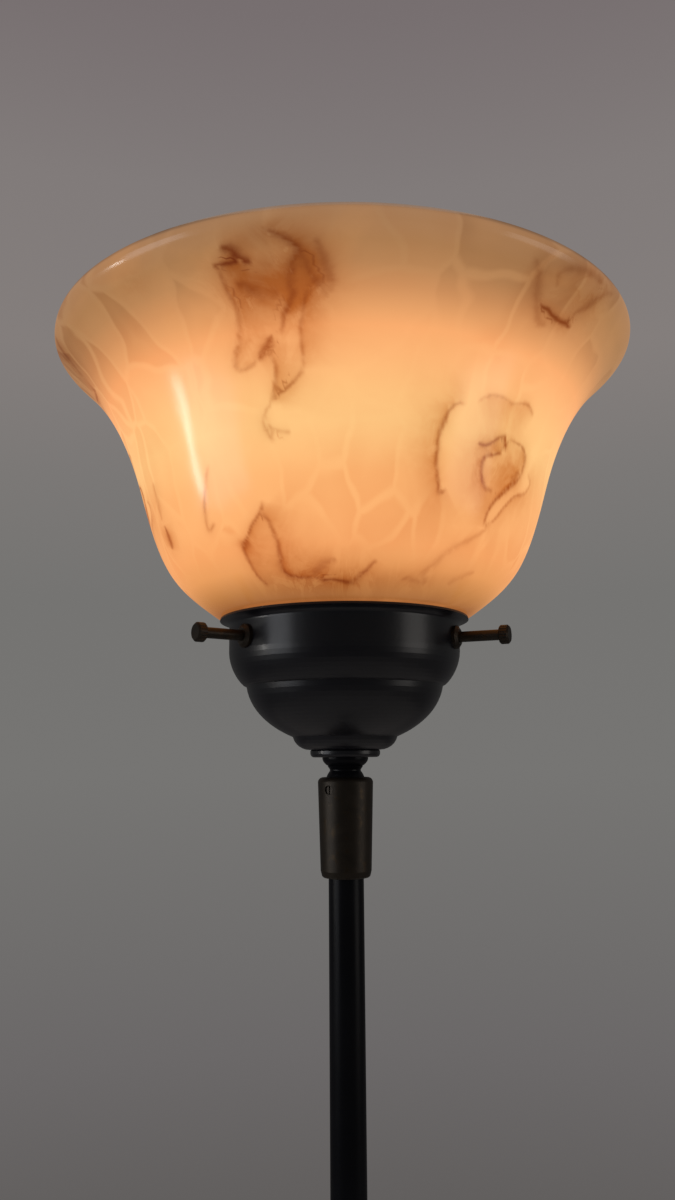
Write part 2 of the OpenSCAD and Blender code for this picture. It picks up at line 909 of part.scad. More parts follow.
module bulb_cap() {
    color("#c9c4b4") on_head()
        tube(bulb_cap_d / 2, bulb_cap_d / 2 - 0.5, tip_z + 4, bulb_cap_top);
}

module bulb_insulator() {
    color("#1a1a1a") on_head() rotate_extrude() polygon([
        [0, tip_z + 1],
        [5, tip_z + 1],
        [bulb_cap_d / 2 - 0.6, tip_z + 4],
        [bulb_cap_d / 2 - 0.6, tip_z + 6],
        [0, tip_z + 6],
    ]);
}

module bulb_contact() {
    color("#c0b79c") on_head() translate([0, 0, tip_z]) cylinder(r1 = 3.6, r2 = 4.6, h = 1);
}

// The glass mount inside the bulb, and the wires and filament that it holds
mount_top = bulb_z - 20;
lead_spread = 14;

module bulb_mount() {
    color("#f2ede2") on_head() rotate_extrude() polygon([
        [0, bulb_cap_top - 6],
        [bulb_neck_r - 1.1, bulb_cap_top - 6],
        [4, bulb_cap_top + 1],
        [2.5, bulb_cap_top + 6],
        [2.5, mount_top],
        [0, mount_top],
    ]);
}

module bulb_filament() {
    lean = atan(lead_spread / (bulb_z + 2 - mount_top));
    lead_l = lead_spread / sin(lean);
    color("#caa870") on_head() union() {
        for (s = [-1, 1]) translate([0, 0, mount_top]) rotate([0, s * lean, 0])
            cylinder(r = 0.5, h = lead_l);
        translate([0, 0, bulb_z + 2]) rotate_extrude(angle = 180)
            translate([lead_spread, 0]) circle(r = 0.7);
    }
}

base_felt();
base_weight();
base_cover();
cord_bush();
terminal_block();
terminal_screws();
base_rod();
base_washer();
base_nut();
pole_foot();
foot_bush();
pole_lower();
joiner_lower();
pole_middle();
joiner_upper();
pole_upper();
inner_flex();
top_bush();
swivel_housing();
grub_screw();
seat_spring();
ball_seat();
ball_stem();
check_washer();
gallery();
screw_bosses();
stem_nut();
holder_cap();
holder_core();
holder_shell();
holder_contact();
holder_screws();
holder_skirt();
head_flex();
thumbscrew_1();
thumbscrew_2();
thumbscrew_3();
screw_pad_1();
screw_pad_2();
screw_pad_3();
glass_shade();
bulb_glass();
bulb_cap();
bulb_insulator();
bulb_contact();
bulb_mount();
bulb_filament();
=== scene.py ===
import json
import math

import bpy
import numpy as np
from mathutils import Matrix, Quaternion, Vector


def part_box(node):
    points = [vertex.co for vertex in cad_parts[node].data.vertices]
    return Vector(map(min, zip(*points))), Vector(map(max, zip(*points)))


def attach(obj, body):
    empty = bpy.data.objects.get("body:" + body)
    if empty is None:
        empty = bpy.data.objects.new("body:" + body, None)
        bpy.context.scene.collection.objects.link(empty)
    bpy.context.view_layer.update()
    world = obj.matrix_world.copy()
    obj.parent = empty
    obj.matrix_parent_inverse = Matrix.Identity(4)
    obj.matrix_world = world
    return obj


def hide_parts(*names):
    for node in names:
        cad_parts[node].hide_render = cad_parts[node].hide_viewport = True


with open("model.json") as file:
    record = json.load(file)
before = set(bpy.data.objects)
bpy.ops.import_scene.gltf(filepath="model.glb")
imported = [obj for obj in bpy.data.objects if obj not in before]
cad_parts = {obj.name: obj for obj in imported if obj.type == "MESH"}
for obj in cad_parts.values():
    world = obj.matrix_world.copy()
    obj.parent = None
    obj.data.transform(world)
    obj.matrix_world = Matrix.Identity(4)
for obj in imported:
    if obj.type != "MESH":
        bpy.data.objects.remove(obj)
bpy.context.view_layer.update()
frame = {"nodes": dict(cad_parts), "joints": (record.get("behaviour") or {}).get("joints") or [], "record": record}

MM = 0.001
AXIS = (0, 0, 1)

joint_place = {joint["name"]: joint.get("pos_m") for joint in frame["joints"]}
ball = Vector(joint_place["head_tilt"])


# ---------------------------------------------------------------- shader kit

class Wire:
    """An output of a finish. Sums written with it add Math nodes."""

    def __init__(self, finish, socket):
        self.finish = finish
        self.socket = socket

    def math(self, operation, first, second=0.0):
        return self.finish.node("ShaderNodeMath", {"operation": operation},
                                {0: first, 1: second})

    def __add__(self, other):
        return self.math("ADD", self, other)

    def __radd__(self, other):
        return self.math("ADD", other, self)

    def __sub__(self, other):
        return self.math("SUBTRACT", self, other)

    def __rsub__(self, other):
        return self.math("SUBTRACT", other, self)

    def __mul__(self, other):
        return self.math("MULTIPLY", self, other)

    def __rmul__(self, other):
        return self.math("MULTIPLY", other, self)

    def __truediv__(self, other):
        return self.math("DIVIDE", self, other)

    def __pow__(self, other):
        return self.math("POWER", self, other)

    def upto(self, limit):
        return self.math("MINIMUM", self, limit)


class Finish:
    """A node tree and short ways to add to it."""

    def __init__(self, name, owner=None):
        self.owner = owner or bpy.data.materials.new(name)
        self.owner.use_nodes = True
        self.tree = self.owner.node_tree
        self.tree.nodes.clear()

    def node(self, kind, settings=None, values=None, out=0):
        made = self.tree.nodes.new(kind)
        for name, value in (settings or {}).items():
            if name == "stops":
                self.set_stops(made.color_ramp, value)
            else:
                setattr(made, name, value)
        for key, value in (values or {}).items():
            if isinstance(value, Wire):
                self.tree.links.new(value.socket, made.inputs[key])
            else:
                made.inputs[key].default_value = value
        return Wire(self, made.outputs[out]) if len(made.outputs) else made

    @staticmethod
    def set_stops(ramp, stops):
        while len(ramp.elements) < len(stops):
            ramp.elements.new(0.5)
        for element, (place, colour) in zip(ramp.elements, stops):
            element.position = place
            element.color = colour

    def place(self):
        return self.node("ShaderNodeTexCoord", out="Object")

    def attribute(self, name, out="Fac"):
        return self.node("ShaderNodeAttribute", {"attribute_name": name}, out=out)

    def stretch(self, scale, at=None, move=(0, 0, 0)):
        return self.node("ShaderNodeMapping", None,
                         {"Vector": at or self.place(), "Scale": scale, "Location": move})

    def noise(self, scale, detail=3.0, roughness=0.5, at=None, twist=0.0, out="Fac"):
        return self.node("ShaderNodeTexNoise", None,
                         {"Vector": at or self.place(), "Scale": scale, "Detail": detail,
                          "Roughness": roughness, "Distortion": twist}, out)

    def cells(self, scale, feature="F1", at=None, randomness=1.0, out="Distance"):
        return self.node("ShaderNodeTexVoronoi", {"feature": feature},
                         {"Vector": at or self.place(), "Scale": scale,
                          "Randomness": randomness}, out)

    def ramp(self, value, low, high, first=0.0, last=1.0):
        return self.node("ShaderNodeMapRange", {"interpolation_type": "SMOOTHSTEP"},
                         {"Value": value, "From Min": low, "From Max": high,
                          "To Min": first, "To Max": last})

    def stops(self, value, stops, interpolation="LINEAR"):
        made = self.node("ShaderNodeValToRGB", {"stops": stops}, {0: value})
        made.socket.node.color_ramp.interpolation = interpolation
        return made

    def mix(self, share, first, second, way="MIX"):
        return self.node("ShaderNodeMix", {"data_type": "RGBA", "blend_type": way},
                         {0: share, 6: first, 7: second}, 2)

    def radius(self):
        split = self.node("ShaderNodeSeparateXYZ", None, {0: self.place()})
        x, y = split, Wire(self, split.socket.node.outputs[1])
        return (x * x + y * y) ** 0.5

    def height(self):
        split = self.node("ShaderNodeSeparateXYZ", None, {0: self.place()})
        return Wire(self, split.socket.node.outputs[2])

    def surface(self, colour, roughness, bump=None, depth=0.0, **more):
        values = {"Base Color": colour, "Roughness": roughness}
        values.update({name.replace("_", " "): value for name, value in more.items()})
        if bump is not None:
            values["Normal"] = self.node("ShaderNodeBump", None,
                                         {"Height": bump, "Distance": depth})
        shader = self.node("ShaderNodeBsdfPrincipled", None, values)
        self.node("ShaderNodeOutputMaterial", None, {"Surface": shader})
        return self.owner


def linear(red, green, blue):
    """A colour given as it shows on a screen, 0 to 255, as light."""
    def one(value):
        value /= 255
        return value / 12.92 if value <= 0.04045 else ((value + 0.055) / 1.055) ** 2.4
    return (one(red), one(green), one(blue), 1.0)


# ---------------------------------------------------------------- finishes

def felt_finish():
    f = Finish("felt")
    fuzz = f.noise(1800, 6, 0.7)
    tone = f.noise(160, 3)
    colour = f.mix(fuzz * 0.6 + tone * 0.4, (0.07, 0.07, 0.065, 1), (0.21, 0.21, 0.19, 1))
    return f.surface(colour, 0.95, fuzz, 0.0004, Sheen_Weight=0.4, Sheen_Roughness=0.5)


def cast_iron_finish():
    f = Finish("cast_iron")
    grain = f.noise(620, 5, 0.65)
    lumps = f.noise(70, 3)
    rust = f.ramp(f.noise(45, 4, 0.6), 0.56, 0.74)
    colour = f.mix(grain, (0.06, 0.06, 0.065, 1), (0.17, 0.17, 0.175, 1))
    colour = f.mix(rust * 0.5, colour, (0.13, 0.06, 0.03, 1))
    return f.surface(colour, f.ramp(grain, 0.2, 0.8, 0.5, 0.8), grain + lumps * 2.0, 0.0004,
                     Metallic=0.6)


def spun_lines(f, along_radius, step):
    """Fine uneven lines left by the spinning tool."""
    across = f.radius() if along_radius else f.height()
    joined = f.node("ShaderNodeCombineXYZ", None, {0: across})
    return f.noise(1 / step, 3, 0.6, at=joined)


def black_enamel_finish():
    f = Finish("black_enamel")
    peel = f.noise(420, 2, 0.4)
    lines = spun_lines(f, False, 0.0016)
    cloud = f.noise(28, 3, 0.55)
    dust = f.ramp(f.noise(900, 4, 0.75), 0.64, 0.78)
    colour = f.mix(cloud, (0.0030, 0.0035, 0.0075, 1), (0.0085, 0.0095, 0.0150, 1))
    colour = f.mix(dust * 0.25, colour, (0.035, 0.033, 0.034, 1))
    gloss = 0.30 + cloud * 0.12 + dust * 0.15
    return f.surface(colour, gloss, peel * 0.7 + lines * 0.3, 0.00006,
                     Coat_Weight=f.ramp(cloud, 0.2, 0.8, 0.25, 0.45), Coat_Roughness=0.22)


def black_tube_finish():
    f = Finish("black_tube")
    drawn = f.noise(1.0, 3, 0.6, at=f.stretch((1500, 1500, 14)))
    cloud = f.noise(35, 3)
    dust = f.ramp(f.noise(800, 4, 0.75), 0.63, 0.78)
    colour = f.mix(cloud, (0.0035, 0.0040, 0.0065, 1), (0.0090, 0.0095, 0.0125, 1))
    colour = f.mix(dust * 0.3, colour, (0.03, 0.03, 0.03, 1))
    return f.surface(colour, 0.26 + cloud * 0.12 + dust * 0.1, drawn + cloud, 0.00003,
                     Specular_IOR_Level=0.16)


def dark_bronze_finish():
    f = Finish("dark_bronze")
    turned_lines = spun_lines(f, False, 0.0005)
    patina = f.noise(120, 5, 0.65, twist=0.6)
    worn = f.ramp(f.noise(260, 4, 0.6), 0.52, 0.72)
    colour = f.mix(patina, (0.016, 0.013, 0.010, 1), (0.060, 0.045, 0.030, 1))
    colour = f.mix(worn * 0.35, colour, (0.11, 0.075, 0.045, 1))
    gloss = 0.36 + patina * 0.16 - worn * 0.06
    return f.surface(colour, gloss, turned_lines + patina * 0.6, 0.00004,
                     Metallic=f.ramp(worn, 0.0, 1.0, 0.55, 0.85))


def zinc_steel_finish():
    f = Finish("zinc_steel")
    spangle = f.cells(240, out="Color")
    grey = f.node("ShaderNodeSeparateColor", None, {0: spangle})
    scratch = f.noise(1.0, 4, 0.6, at=f.stretch((90, 1700, 1700)))
    colour = f.mix(grey * 0.6 + scratch * 0.4, (0.40, 0.40, 0.39, 1), (0.66, 0.66, 0.63, 1))
    return f.surface(colour, 0.26 + grey * 0.14 + scratch * 0.1, scratch, 0.00003,
                     Metallic=1.0)


def brass_finish():
    f = Finish("brass")
    lines = spun_lines(f, False, 0.0004)
    stain = f.ramp(f.noise(90, 5, 0.65), 0.42, 0.75)
    colour = f.mix(lines, (0.66, 0.47, 0.19, 1), (0.80, 0.62, 0.30, 1))
    colour = f.mix(stain * 0.5, colour, (0.36, 0.22, 0.09, 1))
    return f.surface(colour, 0.24 + stain * 0.2, lines, 0.00003, Metallic=1.0)


def rubber_finish():
    f = Finish("rubber")
    grain = f.noise(1500, 4, 0.6)
    bloom = f.noise(70, 3)
    colour = f.mix(grain * 0.5 + bloom * 0.5, (0.012, 0.012, 0.012, 1), (0.04, 0.04, 0.038, 1))
    return f.surface(colour, 0.7 + bloom * 0.15, grain, 0.00008)


def plastic_finish(name, dark, light, roughness, peel=0.00002):
    f = Finish(name)
    flow = f.noise(60, 3, 0.5, twist=0.8)
    grain = f.noise(1300, 3)
    colour = f.mix(flow * 0.7 + grain * 0.3, dark, light)
    return f.surface(colour, roughness + flow * 0.1, grain, peel)


def core_ceramic_finish():
    f = Finish("core_ceramic")
    speck = f.ramp(f.noise(900, 3, 0.7), 0.62, 0.74)
    tone = f.noise(90, 4)
    colour = f.mix(tone, (0.72, 0.68, 0.60, 1), (0.88, 0.85, 0.78, 1))
    colour = f.mix(speck * 0.4, colour, (0.42, 0.34, 0.26, 1))
    return f.surface(colour, 0.6 + tone * 0.15, f.noise(1400, 4), 0.00008)


def flex_sheath_finish():
    f = Finish("flex_sheath")
    drawn = f.noise(1.0, 3, at=f.stretch((1200, 1200, 30)))
    grime = f.noise(80, 4, 0.6)
    colour = f.mix(drawn, (0.70, 0.66, 0.57, 1), (0.84, 0.81, 0.73, 1))
    colour = f.mix(grime * 0.3, colour, (0.50, 0.44, 0.34, 1))
    return f.surface(colour, 0.5 + grime * 0.12, drawn, 0.00004)


# Painted glow of the bulb's light through the glass, brightest about halfway up
# and darker towards the foot and the rim: screen colours of the lit glass from its foot to its rim, by the share
# of the way up its outer side.
GLOW = (
    (0.000, (150, 90, 46)),
    (0.055, (190, 125, 68)),
    (0.120, (230, 155, 91)),
    (0.185, (247, 168, 103)),
    (0.260, (253, 179, 113)),
    (0.360, (254, 184, 117)),
    (0.480, (255, 200, 131)),
    (0.550, (255, 196, 128)),
    (0.640, (255, 184, 120)),
    (0.700, (250, 173, 111)),
    (0.740, (230, 161, 103)),
    (0.790, (206, 144, 92)),
    (0.840, (184, 132, 85)),
    (0.890, (171, 124, 80)),
    (0.955, (166, 123, 86)),
    (0.970, (150, 112, 80)),
    (1.000, (96, 74, 58)),
)


def shade_glass_finish():
    f = Finish("shade_glass")
    flow = f.attribute("flow", "Vector")
    up = f.attribute("up")
    # Painted light: the bulb's glow laid on the glass by height
    glow = f.stops(up, [(place, linear(*colour)) for place, colour in GLOW])

    # Rounded cells of slightly deeper amber with paler seams between them
    wobble = f.noise(30, 2, 0.5, at=flow, out="Color")
    bent = f.node("ShaderNodeVectorMath", {"operation": "MULTIPLY_ADD"},
                  {0: wobble, 1: (0.016, 0.016, 0.016), 2: flow})
    slim = f.stretch((1, 1, 0.60), bent)
    edge = f.cells(46, "DISTANCE_TO_EDGE", slim)
    tint = f.node("ShaderNodeSeparateColor", None, {0: f.cells(46, at=slim, out="Color")})
    cell = f.ramp(edge, 0.01, 0.07) * f.ramp(edge, 0.45, 0.10, 0.5, 1.0) * (0.25 + tint * 0.8)
    patchy = f.ramp(f.noise(19, 2, at=flow), 0.40, 0.62, 0.10, 1.1)
    band = f.ramp(up, 0.10, 0.24) * patchy
    glow = f.mix(cell * band * 0.30, glow, f.mix(1.0, glow, (0.78, 0.50, 0.34, 1), "MULTIPLY"))
    grey = f.ramp(up, 0.70, 0.86) * f.ramp(tint, 0.35, 0.70) * cell * 0.45
    glow = f.mix(grey, glow, f.mix(1.0, glow, (0.70, 0.66, 0.62, 1), "MULTIPLY"))

    # Drifts of cream and deeper amber
    drift = f.noise(14, 4, 0.55, at=flow, twist=1.2)
    glow = f.mix(f.ramp(drift, 0.42, 0.72) * 0.16, glow, (0.80, 0.36, 0.12, 1))

    # Brown smoke: drawn threads, the haze beside them and the veils between
    curl = f.noise(70, 4, 0.6, at=flow, twist=0.8)
    fine = f.noise(260, 3, 0.6, at=flow)
    off = f.attribute("off") + (fine - 0.5) * 1.5
    core = f.node("ShaderNodeMath", {"operation": "EXPONENT"}, {0: off * off * -1.0})
    thread = core * f.attribute("ink") * f.ramp(curl * 0.7 + fine * 0.3, 0.30, 0.60, 0.45, 1.25)
    folds = f.noise(38, 5, 0.6, at=f.stretch((1.0, 1.0, 0.5), flow), twist=2.4)
    crease = f.ramp(folds.math("ABSOLUTE", folds - 0.5), 0.05, 0.0)
    veil = f.attribute("veil") * (f.ramp(folds, 0.3, 0.7, 0.35, 1.25) + crease * 0.30)
    haze = f.attribute("haze") * f.ramp(curl, 0.30, 0.65, 0.7, 1.2)
    smoked = f.mix((veil * 0.75 + haze).upto(1.0), glow,
                   f.mix(1.0, glow, (0.60, 0.35, 0.16, 1), "MULTIPLY"))
    smoked = f.mix(thread.upto(1.0), smoked,
                   f.mix(1.0, smoked, (0.50, 0.27, 0.13, 1), "MULTIPLY"))

    # The same painted glow, darkened, is the base colour; undarkened, it is the emission
    base = f.mix(1.0, smoked, (0.30, 0.33, 0.36, 1), "MULTIPLY")
    ripple = f.noise(30, 2, 0.4, at=flow)
    return f.surface(base, 0.16 + drift * 0.05, ripple, 0.0006,
                     **{"Emission Color": smoked, "Emission Strength": 0.97, "IOR": 1.5})


def bulb_envelope_finish():
    f = Finish("bulb_envelope")
    frost = f.noise(1100, 3)
    uneven = f.noise(26, 3)
    lit = f.mix(uneven, (1.0, 0.62, 0.30, 1), (1.0, 0.78, 0.50, 1))
    return f.surface(f.mix(frost, (0.80, 0.76, 0.68, 1), (0.92, 0.89, 0.82, 1)),
                     0.35 + frost * 0.1, frost, 0.00002,
                     **{"Emission Color": lit, "Emission Strength": 9.0})


def cap_metal_finish():
    f = Finish("cap_metal")
    rings = spun_lines(f, False, 0.0005)
    dull = f.noise(110, 4, 0.6)
    colour = f.mix(rings * 0.5 + dull * 0.5, (0.52, 0.50, 0.46, 1), (0.76, 0.74, 0.69, 1))
    return f.surface(colour, 0.25 + dull * 0.2, rings, 0.00004, Metallic=1.0)


def mount_glass_finish():
    f = Finish("mount_glass")
    seeds = f.noise(500, 3)
    colour = f.mix(seeds, (0.80, 0.79, 0.76, 1), (0.92, 0.91, 0.88, 1))
    return f.surface(colour, 0.08 + seeds * 0.05, seeds, 0.00003, Transmission_Weight=0.8)


def filament_wire_finish():
    f = Finish("filament_wire")
    heat = f.noise(500, 2)
    lit = f.mix(heat, (1.0, 0.55, 0.20, 1), (1.0, 0.80, 0.45, 1))
    return f.surface(f.mix(heat, (0.5, 0.35, 0.2, 1), (0.8, 0.6, 0.4, 1)), 0.4, heat, 0.00001,
                     Metallic=1.0, **{"Emission Color": lit, "Emission Strength": 14.0})


def floor_finish():
    f = Finish("pale_floor")
    tone = f.noise(1.4, 3)
    grain = f.noise(160, 3)
    colour = f.mix(tone * 0.7 + grain * 0.3, (0.70, 0.69, 0.67, 1), (0.80, 0.79, 0.77, 1))
    return f.surface(colour, 0.75 + tone * 0.1, grain, 0.0002)


FINISHES = {
    "felt": felt_finish(),
    "cast_iron": cast_iron_finish(),
    "black_enamel": black_enamel_finish(),
    "black_tube": black_tube_finish(),
    "dark_bronze": dark_bronze_finish(),
    "zinc_steel": zinc_steel_finish(),
    "brass": brass_finish(),
    "rubber": rubber_finish(),
    "block_plastic": plastic_finish("block_plastic", (0.66, 0.62, 0.54, 1),
                                    (0.80, 0.77, 0.70, 1), 0.42),
    "holder_plastic": plastic_finish("holder_plastic", (0.008, 0.007, 0.006, 1),
                                     (0.030, 0.026, 0.022, 1), 0.22),
    "core_ceramic": core_ceramic_finish(),
    "flex_sheath": flex_sheath_finish(),
    "pad_nylon": plastic_finish("pad_nylon", (0.70, 0.67, 0.60, 1),
                                (0.84, 0.82, 0.76, 1), 0.45),
    "shade_glass": shade_glass_finish(),
    "bulb_envelope": bulb_envelope_finish(),
    "cap_metal": cap_metal_finish(),
    "black_vitrite": plastic_finish("black_vitrite", (0.006, 0.006, 0.007, 1),
                                    (0.020, 0.020, 0.022, 1), 0.12),
    "mount_glass": mount_glass_finish(),
    "filament_wire": filament_wire_finish(),
}
SLOT_OF = {part["node"]: part["material_slot"] for part in frame["record"]["subparts"]}


def finish_nodes():
    for name, node in frame["nodes"].items():
        finish = FINISHES[SLOT_OF[name]]
        if not node.material_slots:
            node.data.materials.append(finish)
        for slot in node.material_slots:
            slot.material = finish


# ---------------------------------------------------------------- turned pieces

def bezier(points, count):
    share = np.linspace(0, 1, count + 1)[:, None]
    p = [np.array(point, float) for point in points]
    left = 1 - share
    return (left ** 3 * p[0] + 3 * left ** 2 * share * p[1]
            + 3 * left * share ** 2 * p[2] + share ** 3 * p[3])


def beside(path, distance):
    """The path moved sideways, to the left of the way it runs."""
    run = np.gradient(path, axis=0)
    run /= np.linalg.norm(run, axis=1)[:, None]
    return path + distance * np.stack([-run[:, 1], run[:, 0]], 1)


def joined(*paths):
    kept = [np.array(paths[0], float)]
    for path in paths[1:]:
        path = np.array(path, float)
        same = np.allclose(path[0], kept[-1][-1], atol=1e-6)
        kept.append(path[1:] if same else path)
    return np.vstack(kept)


def only(piece):
    bpy.ops.object.select_all(action="DESELECT")
    bpy.context.view_layer.objects.active = piece
    piece.select_set(True)


def turned(name, outline, steps, smooth=35):
    """Spins a closed outline of radius and height, in metres, about the pole's axis."""
    bpy.ops.object.select_all(action="DESELECT")
    start = Vector((outline[0][0], 0, outline[0][1]))
    bpy.ops.mesh.primitive_plane_add(size=MM)
    piece = bpy.context.object
    piece.name = piece.data.name = name
    bpy.ops.object.mode_set(mode="EDIT")
    bpy.ops.mesh.select_all(action="SELECT")
    bpy.ops.mesh.merge(type="CENTER")
    bpy.ops.transform.translate(value=start)
    for (r0, z0), (r1, z1) in zip(outline[:-1], outline[1:]):
        bpy.ops.mesh.extrude_region_move(
            TRANSFORM_OT_translate={"value": (r1 - r0, 0, z1 - z0)})
    bpy.ops.mesh.extrude_region_move(
        TRANSFORM_OT_translate={"value": start - Vector((outline[-1][0], 0, outline[-1][1]))})
    bpy.ops.mesh.select_all(action="SELECT")
    bpy.ops.mesh.remove_doubles(threshold=1e-6)
    bpy.ops.mesh.select_all(action="SELECT")
    bpy.ops.mesh.spin(steps=steps, angle=2 * math.pi, center=(0, 0, 0), axis=AXIS)
    bpy.ops.mesh.select_all(action="SELECT")
    bpy.ops.mesh.remove_doubles(threshold=1e-6)
    bpy.ops.mesh.select_all(action="SELECT")
    bpy.ops.mesh.normals_make_consistent(inside=False)
    bpy.ops.object.mode_set(mode="OBJECT")
    only(piece)
    bpy.ops.object.shade_smooth_by_angle(angle=math.radians(smooth))
    return piece


# ---------------------------------------------------------------- glass bell

LIP = 75.9
NECK_R = 49.0
WALL = 3.8
RIM = np.array([136.0, LIP + 131.0])
WAIST = np.array([96.0, LIP + 59.0])
WAIST_RUN = np.array([math.sin(math.radians(15.5)), math.cos(math.radians(15.5))])
BELL_FOOT = np.array([57.5, LIP + 0.9])
BELL_BEND = BELL_FOOT + (4.5, 1.9)
BEND_RUN = np.array([math.cos(math.radians(36)), math.sin(math.radians(36))])
BELL_STEPS = 480

# How a smoke thread is laid: its half width is a share of its width, fuller in
# the middle, and never under THINNEST (mm)
SLIM, SWELL = 0.42, 0.48
THINNEST = 0.95
INK_REACH = 2.2
END_FADE = 5
FAR_OFF = 9.0
NEAR_ANGLE = 40
NEAR_ALONG = 25
# The soft halo on both sides of a thread and the sheet on one side (mm)
HALO, HALO_WIDTHS = 0.50, 2.6
SHEET, SHEET_DEPTH = 1.5, 8.0
# The darker line round the rim, and the share of the way up where it starts
RIM_LINE_H = 2.2
RIM_SHARE = 0.97
# The even radius, in metres, at which the marbling's pattern is laid out
FLOW_RADIUS = 0.095


def bell_outer():
    neck_foot = (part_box("glass_shade")[0].z - ball.z) / MM
    return joined(
        [(NECK_R, neck_foot), (NECK_R, neck_foot + 8), (NECK_R, LIP - 10)],
        bezier([(NECK_R, LIP - 10), (NECK_R, LIP - 2), (NECK_R + 3, LIP + 0.7), BELL_FOOT], 8),
        bezier([BELL_FOOT, BELL_FOOT + (2.2, 0.15), BELL_BEND - 1.8 * BEND_RUN, BELL_BEND], 5),
        bezier([BELL_BEND, BELL_BEND + 24 * BEND_RUN, WAIST - 38 * WAIST_RUN, WAIST], 56),
        bezier([WAIST, WAIST + 63 * WAIST_RUN, RIM + (5.2, -12), RIM - (0, 0.95)], 62),
    )


def bell_outline(outer):
    inner = beside(outer, WALL)
    low, high = outer[-1], inner[-1]
    top = bezier([low, low + (0, 1.27), high + (0, 1.27), high], 6)
    inside = np.vstack([inner[::-1][:1], inner[::-1][2:-3:5], inner[:1]])
    return joined(outer, top, inside)


# Smoke threads drawn in the glass: width in mm, strength, the side on which a
# sheet of thinner smoke hangs (1 left of the run, -1 right, 0 none), and points
# on the outer side as (angle from the front, height above the ball). The points
# were worked out by a separate program, not chosen one by one here.
THREADS = (
    (1.3, 0.90, 0, ((-29, 192), (-26, 192), (-24, 192))),
    (2.6, 0.85, 0, ((-27, 196), (-25, 195), (-24, 193), (-22, 191))),
    (1.5, 0.35, 1, ((-28, 192), (-28, 186), (-27, 179), (-28, 170), (-30, 163), (-29, 160),
                 (-26, 161), (-24, 164))),
    (2.2, 0.75, 0, ((-25, 162), (-23, 165), (-22, 167), (-21, 170))),
    (2.2, 0.50, -1, ((-19, 169), (-18, 176), (-16, 181), (-16, 185), (-15, 190), (-14, 193),
                 (-15, 195), (-17, 197), (-19, 199))),
    (2.4, 0.40, 0, ((-14, 193), (-13, 190), (-12, 186), (-11, 184), (-9, 180))),
    (1.2, 0.35, 1, ((-13, 183), (-14, 178), (-15, 171), (-15, 164), (-15, 158))),
    (1.1, 0.55, 0, ((-15, 158), (-18, 153), (-21, 150), (-23, 147))),
    (1.0, 0.35, 0, ((-23, 147), (-25, 143), (-25, 138), (-23, 133))),
    (2.8, 0.35, 0, ((-11, 196), (-10, 191), (-9, 187), (-9, 181))),
    (1.3, 0.35, 1, ((-22, 165), (-21, 159), (-22, 152), (-23, 147))),
    (0.9, 0.30, 0, ((-25, 140), (-22, 137), (-19, 136))),
    (3.5, 0.40, 0, ((-26, 187), (-22, 183), (-18, 182))),
    (1.3, 0.50, -1, ((22, 149), (20, 149), (18, 146), (17, 141), (16, 136), (16, 131),
                 (16, 126), (17, 120), (18, 115), (20, 117))),
    (1.0, 0.35, -1, ((25, 151), (28, 154), (32, 155), (36, 154), (41, 156), (45, 153))),
    (1.2, 0.60, 0, ((27, 136), (30, 136), (33, 139), (36, 142))),
    (1.4, 0.80, 0, ((36, 141), (37, 136))),
    (1.2, 0.60, -1, ((36, 135), (33, 133), (30, 131), (30, 125), (32, 120), (35, 119))),
    (1.5, 0.55, -1, ((37, 141), (43, 140), (46, 137), (46, 131), (44, 126), (41, 122),
                 (37, 116), (35, 111), (35, 105))),
    (2.0, 0.50, 0, ((44, 130), (42, 123))),
    (0.9, 0.34, -1, ((35, 105), (38, 108), (41, 114), (45, 120), (50, 123), (52, 128), (49, 131))),
    (1.2, 0.50, 1, ((-28, 112), (-29, 108), (-32, 104), (-35, 99), (-37, 96), (-37, 91),
                 (-37, 87), (-36, 84), (-35, 82))),
    (2.2, 0.45, 0, ((-35, 99), (-37, 95))),
    (1.5, 0.50, 1, ((-29, 108), (-27, 104), (-26, 97), (-26, 92), (-27, 88), (-25, 85), (-21, 84),
                 (-17, 84), (-16, 83))),
    (1.5, 0.65, 0, ((-16, 83), (-10, 83), (-5, 82), (-3, 83), (-1, 85), (1, 87), (3, 90))),
    (2.5, 0.30, 0, ((-17, 84), (-15, 87), (-12, 89), (-9, 90))),
    (2.0, 0.25, 0, ((13, 83), (15, 84), (22, 83), (20, 86), (22, 89), (24, 93), (28, 97),
                 (33, 101), (38, 107))),
    (2.2, 0.20, 0, ((33, 83), (35, 86), (41, 89))),
    (1.4, 0.75, 0, ((32, 187), (35, 187), (38, 186), (41, 186), (42, 187), (42, 186), (44, 186))),
    (2.2, 0.40, 0, ((42, 189), (44, 193), (46, 198), (49, 201))),
    (2.4, 0.30, 0, ((26, 198), (29, 194), (31, 189), (34, 183), (37, 183))),
    (2.0, 0.30, 0, ((34, 193), (33, 197), (36, 200), (40, 201), (45, 201))),
    (0.9, 0.40, 0, ((-42, 129), (-44, 122), (-46, 115), (-47, 109), (-47, 104), (-44, 107))),
    (2.0, 0.60, 0, ((-68, 112), (-68, 106), (-69, 102))),
    (2.5, 0.25, 0, ((-68, 131), (-68, 122), (-69, 114))),
)
# Veils of thin smoke: strength, angle, height, half width in degrees, half height
VEILS = (
    (0.50, -24, 189, 7, 7), (0.55, -18, 183, 8, 7), (0.50, -19, 198, 4, 3),
    (0.50, -14, 188, 5, 9), (0.22, -23, 174, 8, 12), (0.20, -18, 164, 5, 11),
    (0.55, 37, 129, 8, 9), (0.18, 33, 147, 10, 7),
    (0.60, -15, 82, 23, 4), (0.30, -14, 87, 18, 7), (0.30, 17, 84, 17, 5),
    (0.15, -33, 93, 5, 10), (0.42, 40, 194, 9, 9), (0.30, 29, 196, 3, 7),
    (0.30, 44, 201, 5, 5), (0.40, -69, 107, 8, 7), (0.20, -45, 194, 5, 4),
    (0.25, -84, 199, 4, 5),
)
